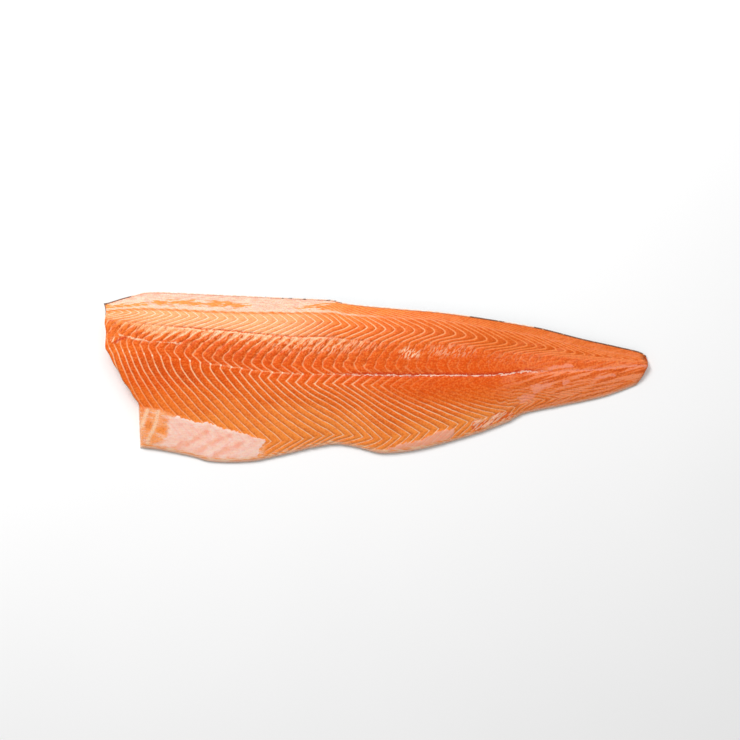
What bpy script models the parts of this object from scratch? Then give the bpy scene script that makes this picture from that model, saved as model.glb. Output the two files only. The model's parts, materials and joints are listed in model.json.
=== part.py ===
"""Whole side of raw salmon lying skin down: the flesh, and the skin under it.

+X runs from the head cut to the tail, +Y from the belly to the back, +Z up.
The origin is on the table, under the middle of the bounding box.
All constants are in millimetres; the mesh is made in metres.
"""
import math

import bmesh
import bpy
import numpy as np
from mathutils import Matrix

MM = 0.001

SKIN_THICKNESS = 1.2
SKIN_GAP = 0.3            # clearance between the skin and the flesh
HEAD_INSET = 0.6          # the skin shows this far past the flesh at each cut
TAIL_INSET = 0.6
BELLY_INSET = 0.9
RIM_DROP = 0.4            # the skin's top edge is this far below the flesh
BELLY_UNDERCUT = 0.7      # the thin belly edge leans in towards the skin
HEAD_UNDERCUT = 2.0
ROLL_STEPS = 6            # facets of the skin where it rolls up the back
SNAP = 1.6                # a line this close to a cut ends on it
FURROW = 0.55             # depth of the furrow along each sheet of fat
FURROW_STEP = 0.5         # grid spacing, in blocks of muscle
SEAM_DEPTH = 0.9
PIN_BONE_DEPTH = 0.8
END_ROUND = 0.8           # how far the top rounds down at the two cuts
END_ROUND_LENGTH = 5.0
END_ROUND_LIMIT = 0.25    # and at most this share of the height there
BELLY_CLEAR = 3.0         # the flat underside has no corner this close to the
HEAD_CLEAR = 3.0          # belly edge, or to the rolled skin at either cut
TAIL_CLEAR = 1.5
SETTLE_STEPS = 12         # halvings that find where a row meets a cut

# Outline seen from above, (x, y).
BACK_EDGE = (
    (-300, 80.5), (-273, 88.6), (-247, 94.0), (-194, 92.0), (-88, 87.0),
    (-49, 85.2), (-36, 82.0), (17, 76.5), (70, 72.0), (123, 64.4),
    (175, 55.6), (228, 42.4), (268, 33.6), (292, 27.5), (300, 21.0),
)
BELLY_EDGE = (
    (-300, -75.4), (-257, -78.0), (-204, -87.3), (-183, -93.0), (-161, -94.0),
    (-139, -93.0), (-108, -87.0), (-70, -78.0), (-45, -74.3), (-27, -76.5),
    (8, -84.2), (31, -82.5), (92, -68.0), (145, -49.5), (162, -40.5),
    (199, -32.6), (250, -21.7), (287, -8.3), (300, -3.0),
)
# The two cuts, (share of the width from the belly edge, x).
HEAD_CUT = (
    (0.0, -258.5), (0.2, -260.0), (0.28, -260.6), (0.33, -266.0), (0.39, -271.5),
    (0.45, -278.5), (0.51, -282.5), (0.56, -287.5), (0.64, -293.0), (0.7, -297.5),
    (0.8, -296.5), (0.87, -298.0), (0.95, -296.8), (1.0, -297.5),
)
TAIL_CUT = (
    (0.0, 286.6), (0.2, 293.5), (0.43, 297.0), (0.7, 299.5), (0.86, 299.2), (1.0, 297.6),
)

# Stations along the fillet, and the radius of the rolled skin at each.
STATIONS = (-300, -240, -180, -60, 60, 180, 300)
ROLL_RADIUS = (12.0, 14.0, 15.0, 14.5, 12.5, 8.5, 4.2)

# Blocks of muscle are counted from head to tail; the sheets of fat between
# them cross these lines at the places given for every eleventh sheet.
SHEETS = (-22, -11, 0, 11, 22, 33, 44)
# Lines that run from head to tail, belly to back: share of the width at each
# station, height at each station, and where the counted sheets cross the line.
LINES = (
    ("belly edge",
     (0.0, 0.0, 0.0, 0.0, 0.0, 0.0, 0.0),
     (6.0, 5.8, 5.5, 6.0, 6.0, 5.0, 3.5),
     (-346, -229, -106, 19, 136, 251, 365)),
    ("belly tips",
     (0.07, 0.086, 0.145, 0.066, 0.124, 0.115, 0.15),
     (10.0, 10.5, 11.0, 11.0, 12.0, 9.5, 5.0),
     (-310, -187, -58, 58, 174, 288, 402)),
    ("belly middle",
     (0.38, 0.336, 0.356, 0.255, 0.296, 0.26, 0.33),
     (18.5, 19.5, 20.0, 20.5, 19.5, 14.0, 6.6),
     (-327, -225, -99, 20, 132, 246, 360)),
    ("second tips",
     (0.66, 0.568, 0.566, 0.441, 0.454, 0.4, 0.52),
     (23.0, 25.4, 26.5, 27.0, 23.5, 16.5, 7.6),
     (-328, -252, -139, -27, 90, 208, 327)),
    ("pin bones",
     (0.697, 0.599, 0.588, 0.506, 0.532, 0.474, 0.6),
     (23.5, 26.0, 27.0, 27.4, 23.8, 16.8, 7.8),
     (-332, -254, -136, -13, 109, 226, 343)),
    ("forward tips",
     (0.768, 0.652, 0.628, 0.563, 0.594, 0.565, 0.645),
     (24.2, 26.8, 27.8, 28.0, 24.0, 17.2, 8.0),
     (-336, -258, -147, -25, 100, 218, 336)),
    ("upper seam",
     (0.9, 0.793, 0.794, 0.75, 0.771, 0.675, 0.69),
     (23.4, 26.8, 28.2, 28.2, 24.0, 17.0, 8.0),
     (-340, -233, -117, -5, 109, 225, 342)),
    ("back tips",
     (0.944, 0.868, 0.866, 0.855, 0.86, 0.782, 0.76),
     (21.0, 24.4, 26.2, 25.6, 22.2, 15.8, 7.4),
     (-304, -204, -87, 20, 143, 260, 376)),
    ("back seam",
     (0.967, 0.91, 0.914, 0.926, 0.945, 0.9, 0.87),
     (18.5, 21.4, 22.5, 21.5, 18.0, 12.8, 6.2),
     (-317, -217, -103, -3, 115, 230, 345)),
    ("back edge",
     (1.0, 1.0, 1.0, 1.0, 1.0, 1.0, 1.0),
     (14.5, 16.0, 17.0, 16.0, 13.8, 9.5, 4.6),
     (-343, -240, -131, -42, 68, 182, 299)),
)
PIN_BONES = 4
UPPER_SEAM = 6
PIN_BONE_SHARE = (0.6, 1, 1, 1, 1, 0.6, 0)
UPPER_SEAM_SHARE = (0.3, 0.8, 1, 0.9, 0.2, 0, 0)
# Rows of the grid between neighbouring lines.
ROWS = (3, 4, 4, 1, 1, 4, 3, 2, 3)
# Depth share of the furrows at each station, per line: the flesh is smooth
# towards the tail and along the middle of the tail half.
FURROW_SHARE = (
    (0.6, 0.6, 0.6, 0.9, 0.8, 0.4, 0.1),
    (0.3, 0.5, 0.7, 1.0, 1.0, 0.5, 0.1),
    (0.8, 1.0, 1.0, 1.0, 0.9, 0.15, 0.1),
    (1.0, 1.0, 1.0, 1.0, 0.3, 0.1, 0.1),
    (1.0, 1.0, 1.0, 0.9, 0.2, 0.1, 0.1),
    (0.8, 1.0, 1.0, 0.9, 0.2, 0.1, 0.1),
    (0.6, 0.8, 0.9, 0.9, 0.7, 0.4, 0.1),
    (0.5, 0.6, 0.6, 0.8, 0.9, 0.7, 0.2),
    (0.3, 0.3, 0.3, 0.4, 0.6, 0.5, 0.2),
    (0.0, 0.0, 0.0, 0.1, 0.2, 0.2, 0.1),
)


def curve(xs, ys, x):
    """Smooth curve through the given places, without overshoot."""
    xs = np.asarray(xs, dtype=float)
    ys = np.asarray(ys, dtype=float)
    x = np.clip(x, xs[0], xs[-1])
    slope = np.diff(ys) / np.diff(xs)
    both = slope[:-1] * slope[1:]
    total = slope[:-1] + slope[1:]
    inner = np.where(both > 0.0, 2.0 * both / np.where(total == 0.0, 1.0, total), 0.0)
    tangent = np.concatenate([slope[:1], inner, slope[-1:]])
    i = np.clip(np.searchsorted(xs, x, side="right") - 1, 0, len(xs) - 2)
    width = xs[i + 1] - xs[i]
    u = (x - xs[i]) / width
    rise = ys[i + 1] - ys[i]
    first = tangent[i] * width
    last = tangent[i + 1] * width
    return ys[i] + u * (first + u * (3.0 * rise - 2.0 * first - last + u * (first + last - 2.0 * rise)))


def through(points, x):
    xs, ys = zip(*points)
    return float(curve(xs, ys, x))


def station(values, x):
    return float(curve(STATIONS, values, x))


def back_y(x):
    return through(BACK_EDGE, x)


def belly_y(x):
    return through(BELLY_EDGE, x)


def share_at(x, y):
    return (y - belly_y(x)) / (back_y(x) - belly_y(x))


def cut_x(cut, inset, y):
    """Where a cut crosses the given y."""
    x = through(cut, 0.5)
    for _ in range(SETTLE_STEPS):
        share = min(max(share_at(x, y), 0.0), 1.0)
        x = 0.5 * x + 0.5 * (through(cut, share) + inset)
    return x


def flesh_y(x, share):
    low = belly_y(x) + BELLY_INSET
    high = back_y(x) - SKIN_THICKNESS - SKIN_GAP
    return low + (high - low) * share


def section(x):
    """Shares and heights of the running lines at one place along the fillet."""
    shares = [station(line[1], x) for line in LINES]
    heights = [station(line[2], x) for line in LINES]
    return shares, heights


def row_places():
    """Every row of the grid as (lower line, part of the way to the next)."""
    places = []
    for line, count in enumerate(ROWS):
        places += [(line, step / count) for step in range(count)]
    places.append((len(ROWS) - 1, 1.0))
    return places


def between(values, place):
    line, part = place
    return values[line] * (1.0 - part) + values[line + 1] * part


def row_share(place, x):
    line, part = place
    return station(LINES[line][1], x) * (1.0 - part) + station(LINES[line + 1][1], x) * part


def row_end(cut, inset, place):
    x = through(cut, 0.5)
    for _ in range(SETTLE_STEPS):
        x = 0.5 * x + 0.5 * (through(cut, row_share(place, x)) + inset)
    return x


def groove(place, line, depth):
    """Depth of a groove that follows one of the running lines."""
    return depth if place == (line, 0.0) else 0.0


def top_height(x, place, sheet, head, tail):
    shares, heights = section(x)
    z = float(curve(shares, heights, row_share(place, x)))
    depth = between([station(share, x) for share in FURROW_SHARE], place)
    z -= FURROW * depth * (0.5 + 0.5 * math.cos(2.0 * math.pi * sheet))
    z -= groove(place, PIN_BONES, PIN_BONE_DEPTH) * station(PIN_BONE_SHARE, x)
    z -= groove(place, UPPER_SEAM, SEAM_DEPTH) * station(UPPER_SEAM_SHARE, x)
    end = min(min(x - head, tail - x) / END_ROUND_LENGTH, 1.0)
    round_down = min(END_ROUND, END_ROUND_LIMIT * z)
    return z - round_down * (1.0 - math.sqrt(max(0.0, 1.0 - (1.0 - end) ** 2)))


def top_surface(bm):
    """Grid of the upper face; gives its rows of vertices, each from cut to cut."""
    sheets = np.arange(SHEETS[0], SHEETS[-1] + FURROW_STEP / 2.0, FURROW_STEP)
    crossings = [curve(SHEETS, line[3], sheets) for line in LINES]
    places = row_places()
    grid = bmesh.ops.create_grid(bm, x_segments=len(sheets) - 1, y_segments=len(places) - 1, size=1.0)
    rows = []
    welded = {}
    for j, place in enumerate(places):
        head = row_end(HEAD_CUT, HEAD_INSET, place)
        tail = row_end(TAIL_CUT, -TAIL_INSET, place)
        xs = between(crossings, place)
        line = grid["verts"][j * len(sheets):(j + 1) * len(sheets)]
        inside = np.flatnonzero((xs > head + SNAP) & (xs < tail - SNAP))
        first, last = inside[0] - 1, inside[-1] + 1
        xs = np.concatenate([[head], xs[inside], [tail]])
        counts = np.concatenate([
            [np.interp(head, between(crossings, place), sheets)],
            sheets[inside],
            [np.interp(tail, between(crossings, place), sheets)],
        ])
        row = line[first:last + 1]
        for vert, x, sheet in zip(row, xs, counts):
            y = flesh_y(x, row_share(place, x))
            z = top_height(x, place, sheet, head, tail)
            vert.co = (x * MM, y * MM, z * MM)
        welded.update({vert: row[0] for vert in line[:first]})
        welded.update({vert: row[-1] for vert in line[last + 1:]})
        rows.append(row)
    bmesh.ops.weld_verts(bm, targetmap=welded)
    return rows


def roll_column(x, offset, rim):
    """Points down the rolled skin at one x: rim first, table level last."""
    radius = station(ROLL_RADIUS, x)
    edge = back_y(x)
    points = []
    for step in range(ROLL_STEPS + 1):
        angle = 0.5 * math.pi * step / ROLL_STEPS
        y = edge - radius + (radius - offset) * math.cos(angle)
        points.append((x, y, rim - (rim - offset) * math.sin(angle)))
    return points


def cut_column(cut, inset, x, offset, rim):
    """A roll column that follows one of the cuts."""
    return [(cut_x(cut, inset, y), y, z) for _, y, z in roll_column(x, offset, rim)]


def under_sheet(bm, back, belly, head_ys, tail_ys, offset, insets, rims=None):
    """Rolled and flat sheet facing the table.

    back gives (x, rim height) and belly gives x along the two long edges, cut
    to cut. rims may give ready vertices for the top of every back column.
    """
    head_inset, tail_inset, belly_inset = insets
    columns = []
    for i, (x, rim) in enumerate(back):
        if i == 0:
            points = cut_column(HEAD_CUT, head_inset, x, offset, rim)
        elif i == len(back) - 1:
            points = cut_column(TAIL_CUT, -tail_inset, x, offset, rim)
        else:
            points = roll_column(x, offset, rim)
        column = [bm.verts.new((px * MM, py * MM, pz * MM)) for px, py, pz in points[1 if rims else 0:]]
        columns.append(([rims[i]] if rims else []) + column)
    for left, right in zip(columns[:-1], columns[1:]):
        for j in range(ROLL_STEPS):
            bm.faces.new((left[j], right[j], right[j + 1], left[j + 1]))
    z = offset * MM
    head = [bm.verts.new((cut_x(HEAD_CUT, head_inset, y) * MM, y * MM, z)) for y in head_ys]
    tail = [bm.verts.new((cut_x(TAIL_CUT, -tail_inset, y) * MM, y * MM, z)) for y in tail_ys]
    edge = [bm.verts.new((x * MM, (belly_y(x) + belly_inset) * MM, z)) for x in belly]
    loop = [column[-1] for column in columns] + tail[::-1] + edge[::-1] + head
    flat = bm.faces.new(loop)
    bmesh.ops.triangulate(bm, faces=[flat], ngon_method="BEAUTY")
    rim_row = [column[0] for column in columns]
    head_side = columns[0][::-1]
    tail_side = columns[-1][::-1]
    return {
        "rim": rim_row,
        "belly": edge,
        "head": [edge[0]] + head + head_side,
        "tail": [edge[-1]] + tail + tail_side,
    }


def zip_chains(bm, first, second):
    """Triangles between two chains that run belly to back."""
    i = j = 0
    while i < len(first) - 1 or j < len(second) - 1:
        step_first = i < len(first) - 1
        if step_first and j < len(second) - 1:
            step_first = first[i + 1].co.y <= second[j + 1].co.y
        if step_first:
            corners = (first[i], first[i + 1], second[j])
            i += 1
        else:
            corners = (first[i], second[j + 1], second[j])
            j += 1
        if len(set(corners)) == 3:
            bm.faces.new(corners)


def join_rows(bm, first, second):
    for i in range(len(first) - 1):
        bm.faces.new((first[i], first[i + 1], second[i + 1], second[i]))


def flat_ys(rows, side, clear):
    """Where, across the cut, the flat underside has its vertices."""
    low = rows[0][side].co.y / MM
    return [row[side].co.y / MM for row in rows[1:] if low + BELLY_CLEAR < row[side].co.y / MM < clear]


def finish(bm, name, material):
    bmesh.ops.recalc_face_normals(bm, faces=bm.faces)
    mesh = bpy.data.meshes.new(name)
    bm.to_mesh(mesh)
    bm.free()
    mesh.materials.append(material)
    ob = bpy.data.objects.new(name, mesh)
    bpy.context.scene.collection.objects.link(ob)
    return ob


def center_on_origin(objects, outer):
    """Move all objects so that the outer one's box is centred over the origin."""
    corners = [v.co for v in outer.data.vertices]
    middle = [(min(c[i] for c in corners) + max(c[i] for c in corners)) / 2.0 for i in (0, 1)]
    for ob in objects:
        ob.data.transform(Matrix.Translation((-middle[0], -middle[1], 0.0)))


def make_material(name, color, roughness):
    material = bpy.data.materials.new(name)
    material.use_nodes = True
    shader = material.node_tree.nodes["Principled BSDF"]
    shader.inputs["Base Color"].default_value = (*color, 1.0)
    shader.inputs["Roughness"].default_value = roughness
    material.diffuse_color = (*color, 1.0)
    return material


def build():
    for ob in list(bpy.data.objects):
        bpy.data.objects.remove(ob)

    bm = bmesh.new()
    rows = top_surface(bm)
    back = [(v.co.x / MM, v.co.z / MM) for v in rows[-1]]
    belly = [v.co.x / MM for v in rows[0]]
    first, last = back[0][0], back[-1][0]
    head_clear = back_y(first) - station(ROLL_RADIUS, first) - HEAD_CLEAR
    tail_clear = back_y(last) - station(ROLL_RADIUS, last) - TAIL_CLEAR
    head_ys = flat_ys(rows, 0, head_clear)
    tail_ys = flat_ys(rows, -1, tail_clear)
    offset = SKIN_THICKNESS + SKIN_GAP
    insets = (HEAD_INSET - HEAD_UNDERCUT, TAIL_INSET, BELLY_INSET + BELLY_UNDERCUT)
    under = under_sheet(bm, back, belly, head_ys, tail_ys, offset, insets, rims=rows[-1])
    join_rows(bm, rows[0], under["belly"])
    zip_chains(bm, [row[0] for row in rows], under["head"])
    zip_chains(bm, [row[-1] for row in rows], under["tail"])
    flesh = finish(bm, "flesh", make_material("salmon_flesh", (0.80, 0.16, 0.035), 0.35))

    bm = bmesh.new()
    back = [(x, rim - RIM_DROP) for x, rim in back]
    under_sheet(bm, back, belly, head_ys, tail_ys, 0.0, (-HEAD_UNDERCUT, 0.0, 0.0))
    skin = finish(bm, "skin", make_material("salmon_skin", (0.33, 0.36, 0.38), 0.3))
    solidify = skin.modifiers.new("thickness", "SOLIDIFY")
    solidify.thickness = SKIN_THICKNESS * MM
    solidify.offset = -1.0
    solidify.use_even_offset = True
    center_on_origin((flesh, skin), skin)


build()
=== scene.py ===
import json
import math

import bmesh
import bpy
import numpy as np
from mathutils import Matrix, Vector, noise

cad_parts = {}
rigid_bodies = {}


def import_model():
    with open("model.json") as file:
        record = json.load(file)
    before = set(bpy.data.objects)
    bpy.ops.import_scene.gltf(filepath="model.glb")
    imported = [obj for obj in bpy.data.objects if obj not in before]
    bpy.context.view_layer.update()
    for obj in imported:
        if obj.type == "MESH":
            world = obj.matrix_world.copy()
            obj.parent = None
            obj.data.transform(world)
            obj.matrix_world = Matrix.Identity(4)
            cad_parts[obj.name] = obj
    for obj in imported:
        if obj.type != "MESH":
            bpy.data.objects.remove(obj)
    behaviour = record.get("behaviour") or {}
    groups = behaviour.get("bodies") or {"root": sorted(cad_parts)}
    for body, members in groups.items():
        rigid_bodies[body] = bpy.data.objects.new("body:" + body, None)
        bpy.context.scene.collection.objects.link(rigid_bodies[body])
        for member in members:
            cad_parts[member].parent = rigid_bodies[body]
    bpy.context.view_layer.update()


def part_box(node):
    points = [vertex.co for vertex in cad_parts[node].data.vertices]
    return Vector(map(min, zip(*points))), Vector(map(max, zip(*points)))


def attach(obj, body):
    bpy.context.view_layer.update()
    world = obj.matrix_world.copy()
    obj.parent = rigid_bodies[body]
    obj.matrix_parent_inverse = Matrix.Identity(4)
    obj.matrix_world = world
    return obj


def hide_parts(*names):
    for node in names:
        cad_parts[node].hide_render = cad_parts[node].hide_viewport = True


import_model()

# +X runs from the head cut to the tail, +Y from the belly to the back, +Z up.
# Constants are in millimetres unless they say otherwise; meshes are in metres.
MM = 0.001

SKIN_THICKNESS = 1.2
SKIN_GAP = 0.3            # clear between the skin and the flesh
SKIN_OFFSET = SKIN_THICKNESS + SKIN_GAP
RIM_DROP = 0.4            # the skin's rim lies this far below the flesh's edge
RIM_WAVE = 0.25
# How far the flesh's top stays inside the outline, and its foot further in.
HEAD_INSET = 0.6
TAIL_INSET = 0.6
BELLY_INSET = 0.9
BELLY_UNDERCUT = 0.7
HEAD_UNDERCUT = 2.0
UNDERCUT_REACH = 4.0      # they fade into each other over this length
BELLY_CORNER = -258.0     # x where the head cut meets the belly edge

# Relief of the upper face: bulges between the sheets of fat, a crease on each.
BULGE = 0.45
CREASE = 0.3
CREASE_WIDTH = 0.9
SEAM_DEPTH = 0.9
PIN_BONE_DEPTH = 0.8
GROOVE_WIDTH = 0.9
SWELL = 0.45              # slow unevenness, and a finer one
RIPPLE = 0.15
FILM_LIFT = 0.3
FILM_EDGE = 0.6           # half width of the film's edge
LEVELLED = 0.8            # part of a furrow that is filled where it is covered
# Rounding of the edges: fall, reach, and the most that falls of the height.
END_ROUND = 1.4
END_ROUND_LENGTH = 5.0
END_ROUND_PART = 0.25
BELLY_ROUND = 2.2
BELLY_ROUND_LENGTH = 7.0
BELLY_ROUND_PART = 0.4

# Sheets of fat.
BLOCK = 11.0              # usual length of a block along the fillet
SLANT = 0.8               # sheets lean this much as they go down into the flesh
WAVER = 0.06              # unevenness of the sheets, in blocks
LOIN_WAVER = 0.2          # and more of it between the pin bones and the seam
# Size and seed of each noise on the mesh.
WAVER_NOISE = (9.0, 1.0)
TEAR_NOISE = (6.0, 2.0)
SWELL_NOISE = (45.0, 3.0)
RIPPLE_NOISE = (12.0, 4.0)
RIM_NOISE = (14.0, 5.0)
LOIN_NOISE = (5.5, 6.0)

SNAP = 0.3                # shortest piece of a row beside a cut
SETTLE_STEPS = 12         # rounds to find where a slanting cut crosses a row
WALL_STEPS = 7
SKIN_STEP = 2.0           # spacing of the skin's points along the fillet
SKIN_ROLL_STEPS = 14
SKIN_SIDE_POINTS = 60
SHARP_ANGLE = 50.0        # degrees
# Spacing of sheets, where the area or slope is too small to measure it.
USUAL_PITCH = 8.0
LEAST_AREA = 1e-6
LEAST_SLOPE = 1e-3

# Outline seen from above, (x, y).
BACK_EDGE = (
    (-300, 80.5), (-273, 88.6), (-247, 94), (-194, 92), (-88, 87),
    (-49, 85.2), (-36, 82), (17, 76.5), (70, 72), (123, 64.4),
    (175, 55.6), (228, 42.4), (268, 33.6), (292, 27.5), (300, 21),
)
BELLY_EDGE = (
    (-300, -75.4), (-257, -78), (-204, -87.3), (-183, -93), (-161, -94),
    (-139, -93), (-108, -87), (-70, -78), (-45, -74.3), (-27, -76.5),
    (8, -84.2), (31, -82.5), (92, -68), (145, -49.5), (162, -40.5),
    (199, -32.6), (250, -21.7), (287, -8.3), (300, -3),
)
# The two cuts, (share of the width from the belly edge, x).
HEAD_CUT = (
    (0, -258.5), (0.2, -260), (0.28, -260.6), (0.33, -266), (0.39, -271.5),
    (0.45, -278.5), (0.51, -282.5), (0.56, -287.5), (0.64, -293), (0.7, -297.5),
    (0.8, -296.5), (0.87, -298), (0.95, -296.8), (1, -297.5),
)
TAIL_CUT = (
    (0, 286.6), (0.2, 293.5), (0.43, 297), (0.7, 299.5), (0.86, 299.2), (1, 297.6),
)

# Stations along the fillet, and the radius of the skin's roll up the back.
STATIONS = (-300, -240, -180, -60, 60, 180, 300)
ROLL_RADIUS = (12, 14, 15, 14.5, 12.5, 8.5, 4.2)

# Blocks of muscle are counted from head to tail. The sheets of fat between
# them cross each running line at the places given for every eleventh sheet.
SHEETS = (-22, -11, 0, 11, 22, 33, 44)

# Running lines, belly to back: share of the width and height at each station,
# crossings of the counted sheets, and how sharply they bend there (0 to 1).
LINES = {
    "belly edge": (
        (0, 0, 0, 0, 0, 0, 0),
        (6, 5.8, 5.5, 6, 6, 5, 3.5),
        (-346, -222, -88, 34, 148, 258, 368), 0),
    "belly tips": (
        (0.07, 0.086, 0.145, 0.066, 0.124, 0.115, 0.15),
        (10, 10.5, 11, 11, 12, 9.5, 5),
        (-310, -187, -58, 58, 174, 288, 402), 0.75),
    "belly middle": (
        (0.38, 0.336, 0.356, 0.255, 0.296, 0.26, 0.33),
        (18.5, 19.5, 20, 20.5, 19.5, 14, 6.6),
        (-327, -225, -99, 20, 132, 246, 360), 0),
    "second tips": (
        (0.66, 0.568, 0.566, 0.441, 0.454, 0.4, 0.52),
        (23, 25.4, 26.5, 27, 23.5, 16.5, 7.6),
        (-328, -252, -139, -27, 90, 208, 327), 0.9),
    "pin bones": (
        (0.697, 0.599, 0.588, 0.506, 0.532, 0.474, 0.6),
        (23.5, 26, 27, 27.4, 23.8, 16.8, 7.8),
        (-332, -254, -136, -13, 109, 226, 343), 1),
    "forward tips": (
        (0.768, 0.652, 0.628, 0.563, 0.594, 0.565, 0.645),
        (24.2, 26.8, 27.8, 28, 24, 17.2, 8),
        (-336, -258, -147, -25, 100, 218, 336), 0.3),
    "upper seam": (
        (0.9, 0.793, 0.794, 0.75, 0.771, 0.675, 0.69),
        (23.4, 26.8, 28.2, 28.2, 24, 17, 8),
        (-340, -233, -117, -5, 109, 225, 342), 0.35),
    "back tips": (
        (0.944, 0.868, 0.866, 0.855, 0.86, 0.782, 0.76),
        (21, 24.4, 26.2, 25.6, 22.2, 15.8, 7.4),
        (-304, -204, -87, 20, 143, 260, 376), 0.55),
    "back seam": (
        (0.967, 0.91, 0.914, 0.926, 0.945, 0.9, 0.87),
        (18.5, 21.4, 22.5, 21.5, 18, 12.8, 6.2),
        (-317, -217, -103, -3, 115, 230, 345), 0.9),
    "back edge": (
        (1, 1, 1, 1, 1, 1, 1),
        (14.5, 16, 17, 16, 13.8, 9.5, 4.6),
        (-343, -240, -131, -42, 68, 182, 299), 0),
}
SHARES, HEIGHTS, CROSSINGS, SHARPNESS = (np.array(column) for column in zip(*LINES.values()))
MEAN_SHARES = SHARES.mean(axis=1, keepdims=True)
# Where the sheets go from a smooth crossing to a bent one, (x, x).
SECOND_TIPS_BEND = (-215, -150)
BACK_TIPS_BEND = (60, -50)
# Numbers of these lines.
SECOND_TIPS, PIN_BONES, FORWARD_TIPS, UPPER_SEAM, BACK_TIPS, BACK_SEAM = range(3, 9)
# Shares of the depth of the two grooves at each station.
PIN_BONE_SHARE = (0.1, 0.2, 0.2, 0.5, 1, 0.6, 0)
UPPER_SEAM_SHARE = (0.3, 0.8, 1, 0.9, 0.2, 0, 0)
# Keeps the lines at the pin bones straight where the belly edge bends in:
# addition to their share, (x, share), and how much of it per line.
STRAIGHTEN = (
    (-300, 0), (-100, 0), (-51, -0.014), (-22, 0), (6, 0.018), (45, 0.006),
    (92, -0.008), (150, 0), (300, 0),
)
STRAIGHTEN_PART = (0, 0, 0.3, 1, 1, 1, 0, 0, 0, 0)

# Grid of the upper face: rows between lines, and columns within each block.
ROWS = (14, 26, 26, 6, 8, 24, 14, 10, 12)
COLUMNS = (0, 0.06, 0.16, 0.32, 0.5, 0.68, 0.84, 0.94)

# Shares at each station, one row per running line.
FURROW_SHARE = (
    (0.6, 0.6, 0.6, 0.9, 0.8, 0.4, 0.1),
    (0.3, 0.5, 0.7, 1, 1, 0.5, 0.1),
    (0.8, 1, 1, 1, 0.9, 0.15, 0.1),
    (1, 1, 1, 1, 0.3, 0.1, 0.1),
    (1, 1, 1, 0.9, 0.2, 0.1, 0.1),
    (0.8, 1, 1, 0.9, 0.2, 0.1, 0.1),
    (0.6, 0.8, 0.9, 0.9, 0.7, 0.5, 0.3),
    (0.5, 0.6, 0.6, 0.8, 0.9, 0.8, 0.5),
    (0.3, 0.3, 0.3, 0.4, 0.6, 0.6, 0.4),
    (0, 0, 0, 0.1, 0.2, 0.2, 0.1),
)
FAT_SHARE = (
    (0.5, 0.5, 0.6, 0.8, 0.8, 0.3, 0.1),
    (0.3, 0.35, 0.7, 0.9, 1, 0.6, 0.1),
    (0.45, 0.6, 0.8, 0.95, 0.9, 0.3, 0.1),
    (0.8, 0.95, 0.95, 0.9, 0.2, 0.05, 0),
    (0.7, 0.75, 0.7, 0.6, 0.15, 0, 0),
    (0.5, 0.6, 0.6, 0.55, 0.3, 0.1, 0),
    (0.7, 0.65, 0.8, 0.8, 0.55, 0.3, 0.3),
    (0.9, 0.8, 0.9, 0.9, 0.8, 0.6, 0.5),
    (0.8, 0.5, 0.5, 0.6, 0.6, 0.5, 0.3),
    (0.2, 0.1, 0.1, 0.3, 0.35, 0.25, 0.1),
)
DEEP_SHARE = (
    (0, 0, 0, 0, 0, 0, 0.1),
    (0, 0, 0, 0, 0, 0.1, 0.2),
    (0.3, 0.4, 0.3, 0.2, 0.5, 0.4, 0.3),
    (0.5, 0.9, 0.9, 0.7, 1, 0.8, 0.4),
    (0.5, 0.8, 1, 1, 1.1, 0.8, 0.4),
    (0.4, 0.8, 1, 0.9, 1, 0.9, 0.4),
    (0.2, 0.3, 0.5, 0.5, 0.7, 0.9, 0.6),
    (0.2, 0.1, 0.1, 0.3, 0.5, 0.6, 0.5),
    (0.1, 0, 0.1, 0.2, 0.4, 0.5, 0.5),
    (0, 0, 0, 0.1, 0.3, 0.4, 0.4),
)

# Places seen on the upper face, (x, y).
BELLY_FILM = (
    (-236, -39), (-228, -42.4), (-218, -42.4), (-197.5, -49), (-185, -49.5), (-173, -54.5),
    (-161, -57.8), (-149, -60.5), (-137, -64.4), (-125, -67.7), (-122.5, -69.5), (-131, -83),
    (-129, -88), (-124, -98), (-200, -102), (-264, -92), (-256, -78), (-247, -72), (-236, -66),
    (-229, -58), (-231, -50),
)
TAIL_FILM = (
    (-5, -82), (19, -77), (24.4, -73.5), (37, -70.8), (51.8, -68.8), (56, -64.5), (66.6, -59.3),
    (77, -56.7), (85.5, -56.7), (84.5, -63.5), (74, -71), (50, -80), (25, -90), (0, -90),
)
SHEEN = (
    ((169.5, -8.7), (194, -4.2), (194, -8.7), (183, -13.2), (173, -20), (169.5, -13.2)),
    ((203, -2), (212, 0), (214, -6), (205, -8)),
    ((152, -22), (170, -17), (178, -20), (160, -29)),
    ((186, 12), (214, 16), (216, 12), (190, 8)),
    ((236, 0), (262, 6), (263, 2), (238, -4)),
)
BACK_WEDGE = (
    (-90, 75.5), (-64, 79.5), (-47, 81.4), (-38, 84), (-20, 90), (60, 90), (60, 60), (-30, 69),
    (-66, 75),
)
BACK_STREAKS = ((-246, 84), (-200, 84.5), (-140, 80.5), (-134, 77.5), (-170, 78), (-240, 81))
# The belly's corner at the head, where the sheets of fat do not show.
FLAP = ((-275, -30), (-238, -34), (-200, -48), (-122, -69), (-122, -110), (-275, -110))
# How far the fat along the back reaches in from the edge, (x, mm).
FAT_REACH = ((-300, 0), (-288, 4), (-268, 9), (-252, 13), (-236, 20), (-200, 30), (300, 30))
# How far the pale band reaches below the upper seam, (x, mm).
PALE_REACH = (
    (-300, 0), (-275, 3), (-257, 8), (-243, 12), (-226, 10), (-205, 7.5), (-186, 4.5),
    (-150, 3.5), (-100, 2.5), (-50, 0), (0, 0),
)
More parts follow.
